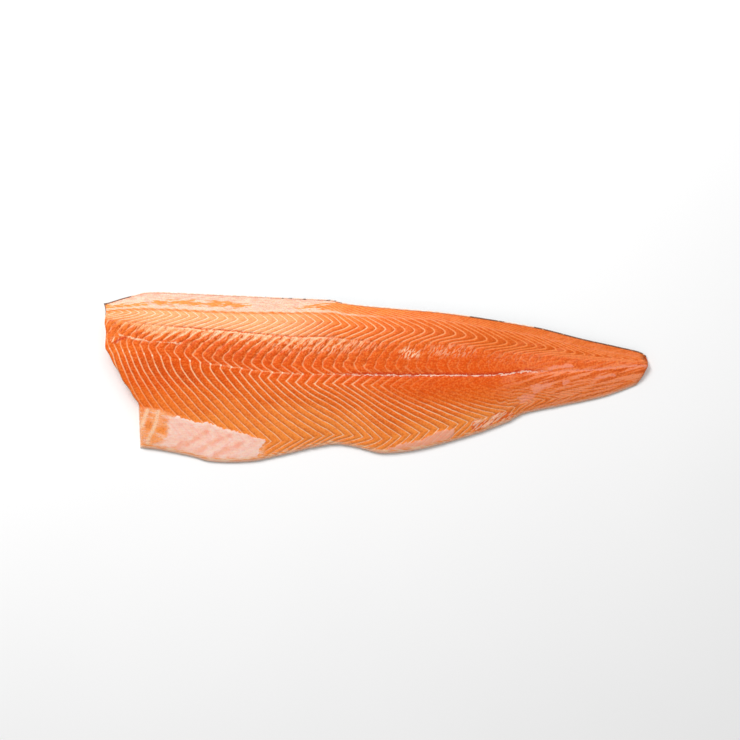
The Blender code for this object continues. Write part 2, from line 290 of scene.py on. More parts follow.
# Bare places in the pale corner, and dark flesh: middle, half sizes, amount.
BARE = ((-250, -53, 5, 7, 1), (-236, -57, 7, 5, 1), (-247, -66, 4, 5, 0.7), (-232, -45, 6, 3, 0.6))
DARKEST = (
    (-205, 0, 17, 11, 0.7), (-150, 22, 60, 9, 0.35), (20, 6, 60, 6, 0.4), (-248, 6, 34, 24, 0.45),
)
# Pale stripes on the corner, and streaks in the film.
STRIPES = (
    ((-251, -35.8), (-254, -43), (-258, -54)),
    ((-239, -36.9), (-243, -52), (-250, -66.6), (-252.5, -74)),
)
FILM_STREAKS = (
    ((-213, -74), (-199, -68), (-185, -58)),
    ((-196, -81), (-178, -70), (-161, -64)),
    ((-178, -86), (-163, -78), (-148, -72)),
    ((-228, -82), (-219, -77), (-212, -69)),
)
UPPER_BONES = ((-281, 46.5), (-268, 43.5), (-250, 39.5), (-233, 38.5), (-196, 37))
RED_MARK = ((-287, 38), (-282, 41), (-274, 43.5))
# Patches of scraped flesh: middle, half sizes, amount.
SCUFFS = (
    (37, 27, 14, 8, 0.8), (82, 29, 32, 9, 0.35), (145, 22, 45, 8, 0.12), (-60, 36, 75, 11, 0.4),
    (-211, -53, 8, 6, 0.9), (128, -50, 26, 8, 0.55), (-286, 41, 6, 4, 0.9), (-140, 45, 60, 6, 0.4),
)
# Where the sheets wander or are torn: middle, half sizes, amount in blocks.
TORN = (
    (116, -53, 16, 9, 1), (140, -44, 18, 8, 1), (150, -26, 28, 9, 0.6), (60, 30, 40, 12, 0.5),
)
TORN_OPEN = 2             # the first two are torn open
# Where the sheets hardly show: middle, half sizes, amount.
CALM = ((85, -16, 70, 15, 0.75), (165, 3, 70, 14, 0.65), (60, 22, 90, 12, 0.3))
PATCH_FADE = (0.5, 1.15)  # a patch fades out between these parts of its half size
FLAP_FADE = (-1, 3)       # from outside to inside its outline
BARE_PART = 0.8
# Where the cut edge of the skin shows dark from above, (x, share).
RIM_DARK = (
    (-300, 1), (-272, 1), (-262, 0), (-130, 0), (-118, 0.5), (-40, 0.6), (-28, 0), (95, 0),
    (105, 1), (136, 0.9), (146, 0.3), (168, 0.3), (176, 1), (290, 1), (300, 0.4),
)

LINE_WIDTH = (0.72, 1)    # half width of a line of fat, in light and deep flesh
LINE_CORE = 0.16          # and of its whitest part
BAND_FRINGE = 3.6         # how far the pale band runs out along each sheet
FINGER_WIDTH = 2.4        # half width of the fingers under the upper seam

# The photograph: 740 pixels of 1.1 mm, seen from straight above.
PHOTO_PIXELS = 740
PIXEL = 1.1
PHOTO_MIDDLE = (-7.15, 8.25)
CAMERA_HEIGHT = 2500.0
FOCUS_HEIGHT = 8.0
SENSOR = 36.0

# Place and size of each lamp in metres, and its power in watts.
LIGHTS = {
    "key": ((-0.8, 1.15, 1.6), 0.9, 30.5),
    "fill": ((0.1, 1.2, 1.6), 1.2, 9.0),
}
WORLD_STRENGTH = 0.42
FLOOR_HALF = 6000.0


def screen(red, green, blue):
    """Linear colour of a screen colour given as 0 to 255."""
    share = np.array((red, green, blue)) / 255.0
    linear = np.where(share <= 0.04045, share / 12.92, ((share + 0.055) / 1.055) ** 2.4)
    return (*map(float, linear), 1.0)


def between(share, first, second):
    """Colour part of the way from the first to the second."""
    return tuple((1 - share) * a + share * b for a, b in zip(first, second))


# Flesh, fat and film.
LIGHT = screen(254, 146, 60)
ORANGE = screen(236, 106, 22)
DEEP = screen(227, 84, 0)
BROWN = screen(236, 104, 38)
TAN = screen(204, 84, 0)
# Dark red-brown for darker flesh, and for the painted shade beside the sheets and in the loin.
DARK_FLESH_AND_SHADE = screen(184, 66, 10)
BLOOD = screen(204, 54, 18)
PEACH = screen(255, 148, 72)
CREAM = screen(255, 190, 140)
FAT = screen(255, 214, 176)
GLOSS = screen(255, 228, 200)
PALE = screen(252, 206, 184)
BLUSH = screen(250, 158, 128)
PINK = screen(255, 204, 188)
WHITE = screen(255, 238, 228)
PEACH_CREAM = between(0.5, PEACH, CREAM)
CREAM_FAT = between(0.6, CREAM, FAT)
# Skin, its cut edge, and the floor.
SKIN_BACK = screen(52, 62, 68)
SKIN_FLANK = screen(128, 138, 142)
SKIN_SILVER = screen(196, 200, 200)
SKIN_SPOT = screen(28, 32, 36)
RIM_PEACH = screen(252, 200, 160)
RIM_PALE = screen(255, 236, 224)
RIM_BROWN = screen(140, 104, 84)
FLOOR_WHITES = (screen(247, 247, 247), screen(250, 250, 250))


def hermite(low, high, first, last, u):
    """Cubic from low to high; first and last are its end slopes."""
    rise = high - low
    bend = 3.0 * rise - 2.0 * first - last + u * (first + last - 2.0 * rise)
    return low + u * (first + u * bend)


def tangents(xs, ys):
    """Slopes at the given places that make a curve without overshoot."""
    slope = np.diff(ys, axis=0) / np.diff(xs, axis=0)
    both = slope[:-1] * slope[1:]
    total = slope[:-1] + slope[1:]
    inner = np.where(both > 0, 2.0 * both / np.where(total == 0, 1, total), 0)
    return np.concatenate([slope[:1], inner, slope[-1:]])


def curve(xs, ys, x):
    """Smooth curve through the given places."""
    xs = np.asarray(xs, dtype=float)
    ys = np.asarray(ys, dtype=float)
    x = np.clip(x, xs[0], xs[-1])
    slope = tangents(xs, ys)
    i = np.clip(np.searchsorted(xs, x, side="right") - 1, 0, len(xs) - 2)
    width = xs[i + 1] - xs[i]
    return hermite(ys[i], ys[i + 1], slope[i] * width, slope[i + 1] * width, (x - xs[i]) / width)


def through(points, x):
    xs, ys = zip(*points)
    return curve(xs, ys, x)


def station(values, x):
    return curve(STATIONS, values, x)


def step(value, low, high):
    """0 below low, 1 above high, smooth in between."""
    t = np.clip((value - low) / (high - low), 0, 1)
    return t * t * (3.0 - 2.0 * t)


def noise_at(points, size, seed):
    """Smooth noise of about -1 to 1, with features of the given size."""
    offset = Vector((seed, 3.7 * seed, 1.9 * seed))
    return np.array([noise.noise(Vector(p) / size + offset) for p in points])


def far_from(points, x, y):
    """Distance to an open chain of points, seen from above."""
    shortest = np.full(len(x), np.inf)
    for (ax, ay), (bx, by) in zip(points[:-1], points[1:]):
        dx, dy = bx - ax, by - ay
        part = np.clip(((x - ax) * dx + (y - ay) * dy) / (dx * dx + dy * dy), 0, 1)
        shortest = np.minimum(shortest, np.hypot(x - ax - part * dx, y - ay - part * dy))
    return shortest


def within(points, x, y):
    """Distance to a closed outline, positive inside it."""
    closed = (*points, points[0])
    inside = np.zeros(len(x), dtype=bool)
    for (ax, ay), (bx, by) in zip(closed[:-1], closed[1:]):
        if ay != by:
            inside ^= ((ay > y) != (by > y)) & (x < ax + (y - ay) * (bx - ax) / (by - ay))
    distance = far_from(closed, x, y)
    return np.where(inside, distance, -distance)


def blob(x, y, patch):
    """Amount of a soft patch."""
    cx, cy, half_x, half_y, amount = patch
    return amount * (1 - step(np.hypot((x - cx) / half_x, (y - cy) / half_y), *PATCH_FADE))


def strongest(patches, x, y):
    return np.maximum.reduce([blob(x, y, patch) for patch in patches])


def nearest(chains, x, y):
    return np.minimum.reduce([far_from(chain, x, y) for chain in chains])


class Shell:
    """A mesh in the making: points with values, and faces by point number."""

    def __init__(self):
        self.points = []
        self.values = {}
        self.faces = []
        self.count = 0

    def add(self, points, values):
        """New points with their values by name; gives their numbers."""
        first = self.count
        self.points.append(np.asarray(points, dtype=float))
        self.count += len(points)
        for name, numbers in values.items():
            self.values.setdefault(name, []).append(np.asarray(numbers, dtype=float))
        return np.arange(first, self.count)

    def face(self, corners):
        corners = list(dict.fromkeys(map(int, corners)))
        if len(corners) > 2:
            self.faces.append(corners)

    def strips(self, chains):
        """Faces between each chain of points and the next."""
        for low, high in zip(chains[:-1], chains[1:]):
            for corners in zip(low[:-1], low[1:], high[1:], high[:-1]):
                self.face(corners)

    def mesh(self, name):
        points = np.concatenate(self.points)
        used, numbers = np.unique(np.concatenate(self.faces), return_inverse=True)
        ends = np.cumsum([len(face) for face in self.faces])[:-1]
        faces = [part.tolist() for part in np.split(numbers, ends)]
        mesh = bpy.data.meshes.new(name)
        mesh.from_pydata((points[used] * MM).tolist(), [], faces)
        for label, parts in self.values.items():
            layer = mesh.attributes.new(label, "FLOAT", "POINT")
            layer.data.foreach_set("value", np.concatenate(parts)[used].astype(np.float32))
        bm = bmesh.new()
        bm.from_mesh(mesh)
        bmesh.ops.recalc_face_normals(bm, faces=bm.faces)
        bm.to_mesh(mesh)
        bm.free()
        return mesh


def back_y(x):
    return through(BACK_EDGE, x)


def belly_y(x):
    return through(BELLY_EDGE, x)


def flesh_y(x, share):
    low = belly_y(x) + BELLY_INSET
    high = back_y(x) - SKIN_THICKNESS - SKIN_GAP
    return low + (high - low) * share


def under_z(x, y, rim):
    """Height of the flesh's underside, which rolls up the back to the rim."""
    radius = station(ROLL_RADIUS, x)
    sine = np.clip((y - back_y(x) + radius) / (radius - SKIN_OFFSET), 0, 1)
    return rim - (rim - SKIN_OFFSET) * np.sqrt(1 - sine ** 2)


def cut_x(cut, inset, y):
    """Where a cut crosses the given y."""
    x = through(cut, 0.5)
    for _ in range(SETTLE_STEPS):
        share = np.clip((y - belly_y(x)) / (back_y(x) - belly_y(x)), 0, 1)
        x = 0.5 * x + 0.5 * (through(cut, share) + inset)
    return x


def row_end(cut, inset, place):
    x = through(cut, 0.5)
    for _ in range(SETTLE_STEPS):
        x = 0.5 * x + 0.5 * (through(cut, row_share(place, x)) + inset)
    return float(x)


def row_places():
    """Rows of the grid as (lower line, part of the way to the next)."""
    places = [(line, part / count) for line, count in enumerate(ROWS) for part in range(count)]
    return [*places, (len(ROWS) - 1, 1)]


def share_of(table, place, x):
    line, part = place
    return station(table[line], x) * (1 - part) + station(table[line + 1], x) * part


def line_share(line, x):
    """Share of the width at which a running line lies."""
    return station(SHARES[line], x) + STRAIGHTEN_PART[line] * through(STRAIGHTEN, x)


def row_share(place, x):
    line, part = place
    return line_share(line, x) * (1 - part) + line_share(line + 1, x) * part


def line_y(line, x):
    return flesh_y(x, line_share(line, x))


def sharp_share(line, x):
    """How much of a line's sharpness there is at the given x."""
    if line == SECOND_TIPS:
        return step(x, *SECOND_TIPS_BEND)
    return step(x, *BACK_TIPS_BEND) if line == BACK_TIPS else 1.0


def sheet_x(crossings, place):
    """Where the sheets cross a row, from where they cross the running lines."""
    line, part = place
    smooth = tangents(MEAN_SHARES, crossings)
    width = MEAN_SHARES[line + 1] - MEAN_SHARES[line]
    chord = (crossings[line + 1] - crossings[line]) / width
    first, last = (
        smooth[i] + SHARPNESS[i] * sharp_share(i, crossings[i]) * (chord - smooth[i])
        for i in (line, line + 1)
    )
    return hermite(crossings[line], crossings[line + 1], first * width, last * width, part)


def base_height(place, x):
    line, part = place
    shares = np.array([line_share(number, x) for number in range(len(SHARES))])
    heights = np.array([station(row, x) for row in HEIGHTS])
    slope = tangents(shares, heights)
    width = shares[line + 1] - shares[line]
    first, last = slope[line] * width, slope[line + 1] * width
    return hermite(heights[line], heights[line + 1], first, last, part)


def upper_grid():
    """The upper face before its relief, and the columns that each row uses."""
    blocks = range(SHEETS[0], SHEETS[-1])
    sheets = np.array([block + part for block in blocks for part in COLUMNS] + [SHEETS[-1]])
    crossings = np.array([curve(SHEETS, row, sheets) for row in CROSSINGS])
    rows, spans = [], []
    for place in row_places():
        head = row_end(HEAD_CUT, HEAD_INSET, place)
        tail = row_end(TAIL_CUT, -TAIL_INSET, place)
        x = sheet_x(crossings, place)
        inside = np.flatnonzero((x > head + SNAP) & (x < tail - SNAP))
        first, last = inside[0] - 1, inside[-1] + 1
        count = sheets.copy()
        count[:first + 1] = np.interp(head, x, sheets)
        count[last:] = np.interp(tail, x, sheets)
        x[:first + 1] = head
        x[last:] = tail
        rows.append({
            "x": x,
            "y": flesh_y(x, row_share(place, x)),
            "z": base_height(place, x),
            "count": count,
            "place": np.full(len(x), sum(place)),
            "end": np.minimum(x - head, tail - x),
            "furrow": share_of(FURROW_SHARE, place, x),
            "fat": share_of(FAT_SHARE, place, x),
            "deep": share_of(DEEP_SHARE, place, x),
        })
        spans.append((first, last))
    return {name: np.array([row[name] for row in rows]) for name in rows[0]}, spans


def block_width(x, y, count):
    """Distance between neighbouring sheets."""
    dx, dy, dn = (np.gradient(values, axis=1) for values in (x, y, count))
    widths = []
    for before in (0, 1):
        pad = ((before, 1 - before), (0, 0))
        ex, ey, en = (np.pad(np.diff(values, axis=0), pad, mode="edge") for values in (x, y, count))
        area = dx * ey - dy * ex
        flat = np.abs(area) < LEAST_AREA
        area = np.where(flat, 1, area)
        slope = np.hypot((dn * ey - en * dy) / area, (en * dx - dn * ex) / area)
        width = 1.0 / np.maximum(slope, LEAST_SLOPE)
        widths.append(np.where(flat | (slope < LEAST_SLOPE), USUAL_PITCH, width))
    return np.minimum(*widths)


def above_bones(place, start, full, fade):
    """1 from above the pin bones up to the upper seam, else 0."""
    return step(place, start, full) * (1 - step(place, UPPER_SEAM, UPPER_SEAM + fade))


def flap_share(x, y):
    return step(within(FLAP, x, y), *FLAP_FADE)


def uneven_count(grid, points):
    """The count of sheets, wavering, and torn up in places."""
    x, y, _ = points.T
    loin = above_bones(grid["place"].ravel(), PIN_BONES, FORWARD_TIPS, 0.2)
    count = grid["count"].ravel() + WAVER * noise_at(points, *WAVER_NOISE)
    count += strongest(TORN, x, y) * noise_at(points, *TEAR_NOISE)
    return count + LOIN_WAVER * loin * noise_at(points, *LOIN_NOISE)


def paint_values(grid, points):
    """What the material needs at each point."""
    x, y, _ = points.T
    place = grid["place"].ravel()
    every_sheet = np.arange(SHEETS[0], SHEETS[-1] + 1)
    bone_crossings = curve(SHEETS, CROSSINGS[PIN_BONES], every_sheet)
    seam, back, bones = (y - line_y(line, x) for line in (UPPER_SEAM, BACK_SEAM, PIN_BONES))
    flap = flap_share(x, y)
    return {
        "count": uneven_count(grid, points),
        "pitch": block_width(grid["x"], grid["y"], grid["count"]).ravel(),
        # Side of each sheet that gets painted shade: 1 tailwards, -1 headwards, 0 none.
        "side": np.where(place < SECOND_TIPS, 1, np.where(place < FORWARD_TIPS, 0, -1)),
        "deep": grid["deep"].ravel() + sum(blob(x, y, patch) for patch in DARKEST),
        "fat": grid["fat"].ravel() * (1 - flap) * (1 - strongest(CALM, x, y)),
        "loin": above_bones(place, PIN_BONES + 0.9, FORWARD_TIPS + 0.3, 0.1),
        "seam": seam,
        "back": back,
        "bones": bones,
        "bone_count": np.interp(x, bone_crossings, every_sheet),
        "edge": y - belly_y(x),
        "band": np.where(seam > 0, -back, through(PALE_REACH, x) + seam),
        "fat_band": np.minimum.reduce([
            back, -within(BACK_WEDGE, x, y), -within(BACK_STREAKS, x, y),
            through(FAT_REACH, x) - back_y(x) + y,
        ]),
        "flap": flap * (1 - BARE_PART * strongest(BARE, x, y)),
        "film": np.maximum(within(BELLY_FILM, x, y), within(TAIL_FILM, x, y)),
        "streak": nearest(FILM_STREAKS, x, y),
        "stripe": nearest(STRIPES, x, y),
        "sheen": np.maximum.reduce([within(patch, x, y) for patch in SHEEN]),
        "scuff": strongest(SCUFFS, x, y),
        "torn": strongest(TORN[:TORN_OPEN], x, y),
        "upper_bones": far_from(UPPER_BONES, x, y),
        "mark": far_from(RED_MARK, x, y),
    }


def round_off(length, reach, drop):
    """Fall of a rounded edge at the given distances from it."""
    part = 1 - np.clip(length / reach, 0, 1)
    return drop * (1 - np.sqrt(1 - part ** 2))


def relief(grid, points, values):
    """Height of the upper face with its furrows and rounded edges."""
    x, y, _ = points.T
    place, z, end, furrow = (grid[name].ravel() for name in ("place", "z", "end", "furrow"))
    film = step(values["film"], -FILM_EDGE, FILM_EDGE)
    furrow = furrow * (1 - LEVELLED * np.maximum(film, flap_share(x, y)))
    furrow *= 1 - LEVELLED * strongest(CALM, x, y)
    count = values["count"]
    gap = np.abs((count + 0.5) % 1 - 0.5) * values["pitch"]
    z = z - furrow * BULGE * (0.5 + 0.5 * np.cos(2 * np.pi * count))
    z -= furrow * CREASE * np.exp(-(gap / CREASE_WIDTH) ** 2)
    bones, seam = (np.exp(-(values[name] / GROOVE_WIDTH) ** 2) for name in ("bones", "seam"))
    z -= PIN_BONE_DEPTH * station(PIN_BONE_SHARE, x) * bones
    z -= SEAM_DEPTH * station(UPPER_SEAM_SHARE, x) * seam
    inner = step(place, 0, 0.7) * (1 - step(place, BACK_SEAM, BACK_SEAM + 1))
    swell = SWELL * noise_at(points, *SWELL_NOISE) + RIPPLE * noise_at(points, *RIPPLE_NOISE)
    z += inner * swell
    z += FILM_LIFT * film * inner
    z -= round_off(end, END_ROUND_LENGTH, np.minimum(END_ROUND, END_ROUND_PART * z))
    belly_drop = np.minimum(BELLY_ROUND, BELLY_ROUND_PART * z)
    return z - round_off(y - belly_y(x) - BELLY_INSET, BELLY_ROUND_LENGTH, belly_drop)


def undercut_left(length):
    """Part of an undercut that is left at a distance from the corner."""
    return np.exp(-length / UNDERCUT_REACH)


class FleshShell(Shell):
    """The flesh: upper face, cut faces and rolled underside."""

    def __init__(self):
        super().__init__()
        grid, self.spans = upper_grid()
        x, y = grid["x"].ravel(), grid["y"].ravel()
        flat = np.stack([x, y, np.zeros_like(x)], axis=1)
        self.top_values = paint_values(grid, flat)
        self.top = np.stack([x, y, relief(grid, flat, self.top_values)], axis=1)
        self.ids = self.add(self.top, self.top_values).reshape(grid["x"].shape)
        for row, (first, last) in zip(self.ids, self.spans):
            row[:first] = row[first]
            row[last + 1:] = row[last]
        self.strips(self.ids)
        self.rim_x, _, self.rim_z = self.top[self.ids[-1]].T
        self.head = self.cut_face(0, HEAD_CUT, HEAD_INSET - HEAD_UNDERCUT)
        self.tail = self.cut_face(-1, TAIL_CUT, -TAIL_INSET)
        self.underside(self.belly_face())

    def picked(self, chain):
        """Copies of points of the upper face with their values."""
        return self.top[chain], {name: part[chain] for name, part in self.top_values.items()}

    def wall(self, top_chain, foot, values):
        """Chains of points down a cut face."""
        top = self.top[top_chain]
        drop = top[:, 2] - foot[:, 2]
        chains = [top_chain]
        for number in range(1, WALL_STEPS + 1):
            part = number / WALL_STEPS
            below = {**values, "count": values["count"] + SLANT * drop * part / BLOCK}
            chains.append(self.add(top + (foot - top) * part, below))
        return chains

    def cut_face(self, side, cut, inset):
        chain = self.ids[:, side]
        foot, values = self.picked(chain)
        x = foot[:, 0].copy()
        foot[:, 1] += BELLY_UNDERCUT * undercut_left(foot[:, 1] - foot[0, 1])
        foot[:, 0] = cut_x(cut, inset, foot[:, 1])
        foot[:, 2] = under_z(x, foot[:, 1], self.rim_z[side])
        chains = self.wall(chain, foot, values)
        for level in chains:
            level[-1] = chain[-1]
        self.strips(chains)
        return chains

    def between_cuts(self, row, chain, head, tail):
        """A chain with its ends joined to the two cut faces."""
        first, last = self.spans[row]
        chain[:first + 1] = head
        chain[last:] = tail
        return chain

    def belly_face(self):
        """The face along the belly edge; gives the numbers of its foot."""
        foot, values = self.picked(self.ids[0])
        x = foot[:, 0].copy()
        foot[:, 0] -= HEAD_UNDERCUT * undercut_left(x - x[0])
        foot[:, 1] = belly_y(x) + BELLY_INSET + BELLY_UNDERCUT
        foot[:, 2] = SKIN_OFFSET
        chains = self.wall(self.ids[0], foot, values)
        for chain, head, tail in zip(chains, self.head, self.tail):
            self.between_cuts(0, chain, head[0], tail[0])
        self.strips(chains)
        return chains[-1]

    def underside(self, belly_foot):
        """The roll up the back, and one flat face on the skin."""
        head, tail = self.head[-1], self.tail[-1]
        start = sum(ROWS[:UPPER_SEAM])
        rows = []
        for row in range(start, len(self.ids) - 1):
            points, values = self.picked(self.ids[row])
            rim = np.interp(points[:, 0], self.rim_x, self.rim_z)
            points[:, 2] = under_z(points[:, 0], points[:, 1], rim)
            rows.append(self.between_cuts(row, self.add(points, values), head[row], tail[row]))
        self.strips([*rows, self.ids[-1]])
        self.face(np.concatenate([rows[0], tail[:start][::-1], belly_foot[::-1], head[:start]]))


def skin_roll(shell, x, rim, cut):
    """A column of the skin, from the rim to the table."""
    turns = np.linspace(0, 0.5 * np.pi, SKIN_ROLL_STEPS + 1)
    radius = float(station(ROLL_RADIUS, x))
    y = float(back_y(x)) - radius + radius * np.cos(turns)
    z = rim - rim * np.sin(turns)
    across = cut_x(*cut, y) if cut else np.full(len(turns), x)
    values = {"turn": turns / (0.5 * np.pi), "dark": np.full(len(turns), through(RIM_DARK, x))}
    return shell.add(np.stack([across, y, z], axis=1), values)


def skin_foot(shell, x, y):
    """Points of the skin where it lies flat on the table."""
    values = {"turn": np.ones(len(x)), "dark": np.zeros(len(x))}
    return shell.add(np.stack([x, y, np.zeros_like(x)], axis=1), values)


def make_skin(rim_x, rim_z):
    """Outer face of the skin, flat on the table and rolled up the back."""
    head, tail = float(rim_x[0]), float(rim_x[-1])
    xs = np.linspace(head, tail, int((tail - head) / SKIN_STEP))
    rims = np.interp(xs, rim_x, rim_z) - RIM_DROP
    rims += RIM_WAVE * (noise_at([(x, 0, 0) for x in xs], *RIM_NOISE) - 1)
    cuts = {0: (HEAD_CUT, -HEAD_UNDERCUT), len(xs) - 1: (TAIL_CUT, 0)}
    shell = Shell()
    columns = [
        skin_roll(shell, x, rim, cuts.get(number)) for number, (x, rim) in enumerate(zip(xs, rims))
    ]
    shell.strips(columns)
    sides = []
    for number, (cut, inset) in cuts.items():
        low, high = belly_y(through(cut, 0)), shell.points[number][-1][1]
        ys = np.linspace(low, high, SKIN_SIDE_POINTS)[1:-1]
        sides.append(skin_foot(shell, cut_x(cut, inset, ys), ys))
    corner_x = cut_x(HEAD_CUT, -HEAD_UNDERCUT, belly_y(BELLY_CORNER))
    edge_x = np.linspace(float(corner_x), float(through(TAIL_CUT, 0)), len(xs))
    edge = skin_foot(shell, edge_x, belly_y(edge_x))
    back = [column[-1] for column in columns]
    head_side, tail_side = sides
    shell.face(np.concatenate([back, tail_side[::-1], edge[::-1], head_side]))
    return shell


class Graph:
    """Shader nodes of one material, in short calls."""

    def __init__(self, name):
        self.material = bpy.data.materials.new(name)
        self.material.use_nodes = True
        self.tree = self.material.node_tree
        self.place = self.add("TexCoord").outputs["Object"]
        self.x = self.add("SeparateXYZ", Vector=self.place).outputs["X"]

    def add(self, kind, **values):
        node = self.tree.nodes.new("ShaderNode" + kind)
        self.fill(node.inputs, **values)
        return node

    def put(self, sockets, values):
        for socket, value in zip(sockets, values):
            if isinstance(value, bpy.types.NodeSocket):
                self.tree.links.new(value, socket)
            else:
                socket.default_value = value

    def fill(self, sockets, **values):
        """Sockets by name, with underscores for the spaces."""
        self.put([sockets[name.replace("_", " ")] for name in values], values.values())

    def shade(self, **values):
        self.fill(self.tree.nodes["Principled BSDF"].inputs, **values)

    def calc(self, operation, *values):
        node = self.add("Math")
        node.operation = operation
        self.put(node.inputs, values)
        return node.outputs[0]

    def times(self, *values):
        product = values[0]
        for value in values[1:]:
            product = self.calc("MULTIPLY", product, value)
        return product

    def value(self, name):
        """A value that the mesh carries at its points."""
        node = self.add("Attribute")
        node.attribute_name = name
        return node.outputs["Fac"]

    def mix(self, factor, first, second):
        node = self.add("Mix")
        node.data_type = "RGBA"
        self.put((node.inputs[0], node.inputs[6], node.inputs[7]), (factor, first, second))
        return node.outputs[2]

    def smooth(self, value, low, high, bottom=0, top=1):
        """Smooth step from bottom to top between low and high."""
        node = self.add("MapRange")
        node.interpolation_type = "SMOOTHSTEP"
        self.put(node.inputs, (value, low, high, bottom, top))
        return node.outputs[0]

    def along(self, low, high, bottom=0, top=1):
        """Smooth step between two places along the fillet."""
        return self.smooth(self.x, low * MM, high * MM, bottom, top)

    def near(self, value, outer, inner, top=1):
        """Share by how near a value is to nothing."""
        return self.smooth(self.calc("ABSOLUTE", value), outer, inner, 0, top)

    def wavy(self, value, source, reach):
        """A value moved up and down by a noise."""
        return self.calc("MULTIPLY_ADD", self.calc("SUBTRACT", source, 0.5), reach, value)

    def stretched(self, size, turn=0):
        """Place in units of the given size, turned about z."""
        scale = [side * MM for side in size]
        turned = (0, 0, math.radians(turn))
        node = self.add("Mapping", Vector=self.place, Rotation=turned, Scale=scale)
        node.vector_type = "TEXTURE"
        return node.outputs[0]

    def noise(self, size, detail=2, turn=0):
        place = self.stretched(size, turn)
        return self.add("TexNoise", Vector=place, Scale=1, Detail=detail).outputs["Fac"]

    def cells(self, size, feature="F1"):
        node = self.add("TexVoronoi", Vector=self.stretched(size), Scale=1)
        node.feature = feature
        return node.outputs

    def bump(self, height, distance, strength):
        node = self.add("Bump", Strength=strength, Distance=distance * MM, Height=height)
        self.shade(Normal=node.outputs["Normal"])


class FleshGraph(Graph):
    """The flesh's colour so far, and what its layers share."""

    def __init__(self, name):
        super().__init__(name)
        self.mottle = self.noise((7, 5, 5), 3)
        self.fine = self.noise((2.4, 2.4, 2.4))
        self.fibre = self.noise((9, 1, 1.5), 3)
        self.strokes = self.noise((1.6, 5.5, 2), 1.5, -38)
        self.dash = self.noise((4.5, 2.2, 2.2), 2, 20)
        self.count = self.value("count")
        self.seam = self.value("seam")
        self.loin = self.value("loin")
        self.deep = self.wavy(self.value("deep"), self.noise((30, 20, 20)), 0.5)
        patches = self.smooth(self.noise((14, 9, 9)), 0.25, 0.55, 0.65, 1)
        self.fat = self.times(self.value("fat"), patches)
        # How far the nearest sheet of fat is.
        self.gap = self.times(self.calc("ABSOLUTE", self.centred(self.count)), self.value("pitch"))
        self.in_tail = self.along(110, 200)
        self.high_tail = self.times(self.smooth(self.seam, -2, 6), self.along(-50, 150))
        self.color = LIGHT

    def blot(self, name, source, reach, *steps):
        """Share from one of the mesh's values, with a wavy edge."""
        return self.smooth(self.wavy(self.value(name), source, reach), *steps)

    def centred(self, count):
        return self.calc("SUBTRACT", self.calc("FRACT", self.calc("ADD", count, 0.5)), 0.5)

    def paint(self, color, *shares):
        """A layer over the colour so far."""
        self.color = self.mix(self.times(*shares), self.color, color)


def paint_muscle(g):
    """Light at the belly, deep in the middle, browner in the tail."""
    g.paint(ORANGE, g.smooth(g.deep, 0, 0.45))
    g.paint(DEEP, g.smooth(g.deep, 0.4, 1))
    g.paint(BROWN, g.in_tail, 0.75)
    g.paint(DARK_FLESH_AND_SHADE, g.smooth(g.deep, 1, 1.8, 0, 0.7))
    g.paint(DARK_FLESH_AND_SHADE, g.smooth(g.mottle, 0.45, 0.75, 0, 0.22))
    g.paint(PEACH, g.smooth(g.fibre, 0.5, 0.7, 0, 0.3))
    g.paint(TAN, g.high_tail, 0.85)


def paint_tail_streaks(g):
    """Pale and dark streaks along the lower half of the tail."""
    grooves = g.noise((30, 2.6, 3), 2, 14)
    low_tail = g.times(g.in_tail, g.smooth(g.value("bones"), 6, -2, 0.25, 1))
    pale = g.smooth(grooves, 0.5, 0.57, 0, 0.85)
    dark = g.smooth(grooves, 0.47, 0.38, 0, 0.5)
    g.paint(between(0.6, PEACH, BLUSH), low_tail, pale)
    g.paint(DARK_FLESH_AND_SHADE, low_tail, dark)


def paint_shade(g):
    """Painted shade beside each sheet: tailwards below the pin bones, else headwards."""
    part = g.calc("FRACT", g.count)
    side = g.value("side")
    after = g.times(g.smooth(part, 0.42, 0.02), g.calc("MAXIMUM", side, 0))
    before = g.times(g.smooth(part, 0.58, 0.98), g.calc("MAXIMUM", g.times(side, -1), 0))
    depth = g.smooth(g.deep, 0, 0.6, 0.55, 0.85)
    in_loin = g.smooth(g.loin, 0, 1, 1, 1.2)
    g.paint(DARK_FLESH_AND_SHADE, g.calc("ADD", after, before), g.fat, depth, in_loin)


def paint_pale_bands(g):
    """Pale band at the seams, fat along the back and at the belly's corner."""
    fringe = g.calc("MULTIPLY_ADD", g.calc("COSINE", g.times(g.count, 2.0 * math.pi)), BAND_FRINGE,
                    g.wavy(g.value("band"), g.mottle, 6))
    band = g.times(g.smooth(fringe, -1.2, 1.2), g.along(-35, -115),
                   g.along(-280, -245, 0.5, 1), 0.85)
    wisp = g.noise((12, 1.6, 3), 2, 2)
    back_fat = g.wavy(g.wavy(g.value("fat_band"), g.mottle, 3), wisp, 12)
    back_fat = g.times(g.smooth(back_fat, -1, 1), g.along(20, -60))
    flap = g.smooth(g.wavy(g.mottle, g.fine, 0.5), 0.3, 0.6, 0.45, 0.95)
    flap = g.times(g.value("flap"), flap)
    pale = g.calc("MAXIMUM", g.calc("MAXIMUM", band, back_fat), flap)

    flakes = g.smooth(g.noise((8, 1.4, 3), 2, -12), 0.5, 0.62)
    color = g.mix(g.smooth(g.fibre, 0.35, 0.7), between(0.15, CREAM, PEACH),
                  between(0.65, CREAM, PEACH))
    color = g.mix(g.times(flap, flakes), color, PALE)
    back_color = g.mix(g.smooth(wisp, 0.4, 0.6), between(0.45, BLUSH, PINK), PALE)
    g.paint(g.mix(back_fat, color, back_color), pale)
    return pale


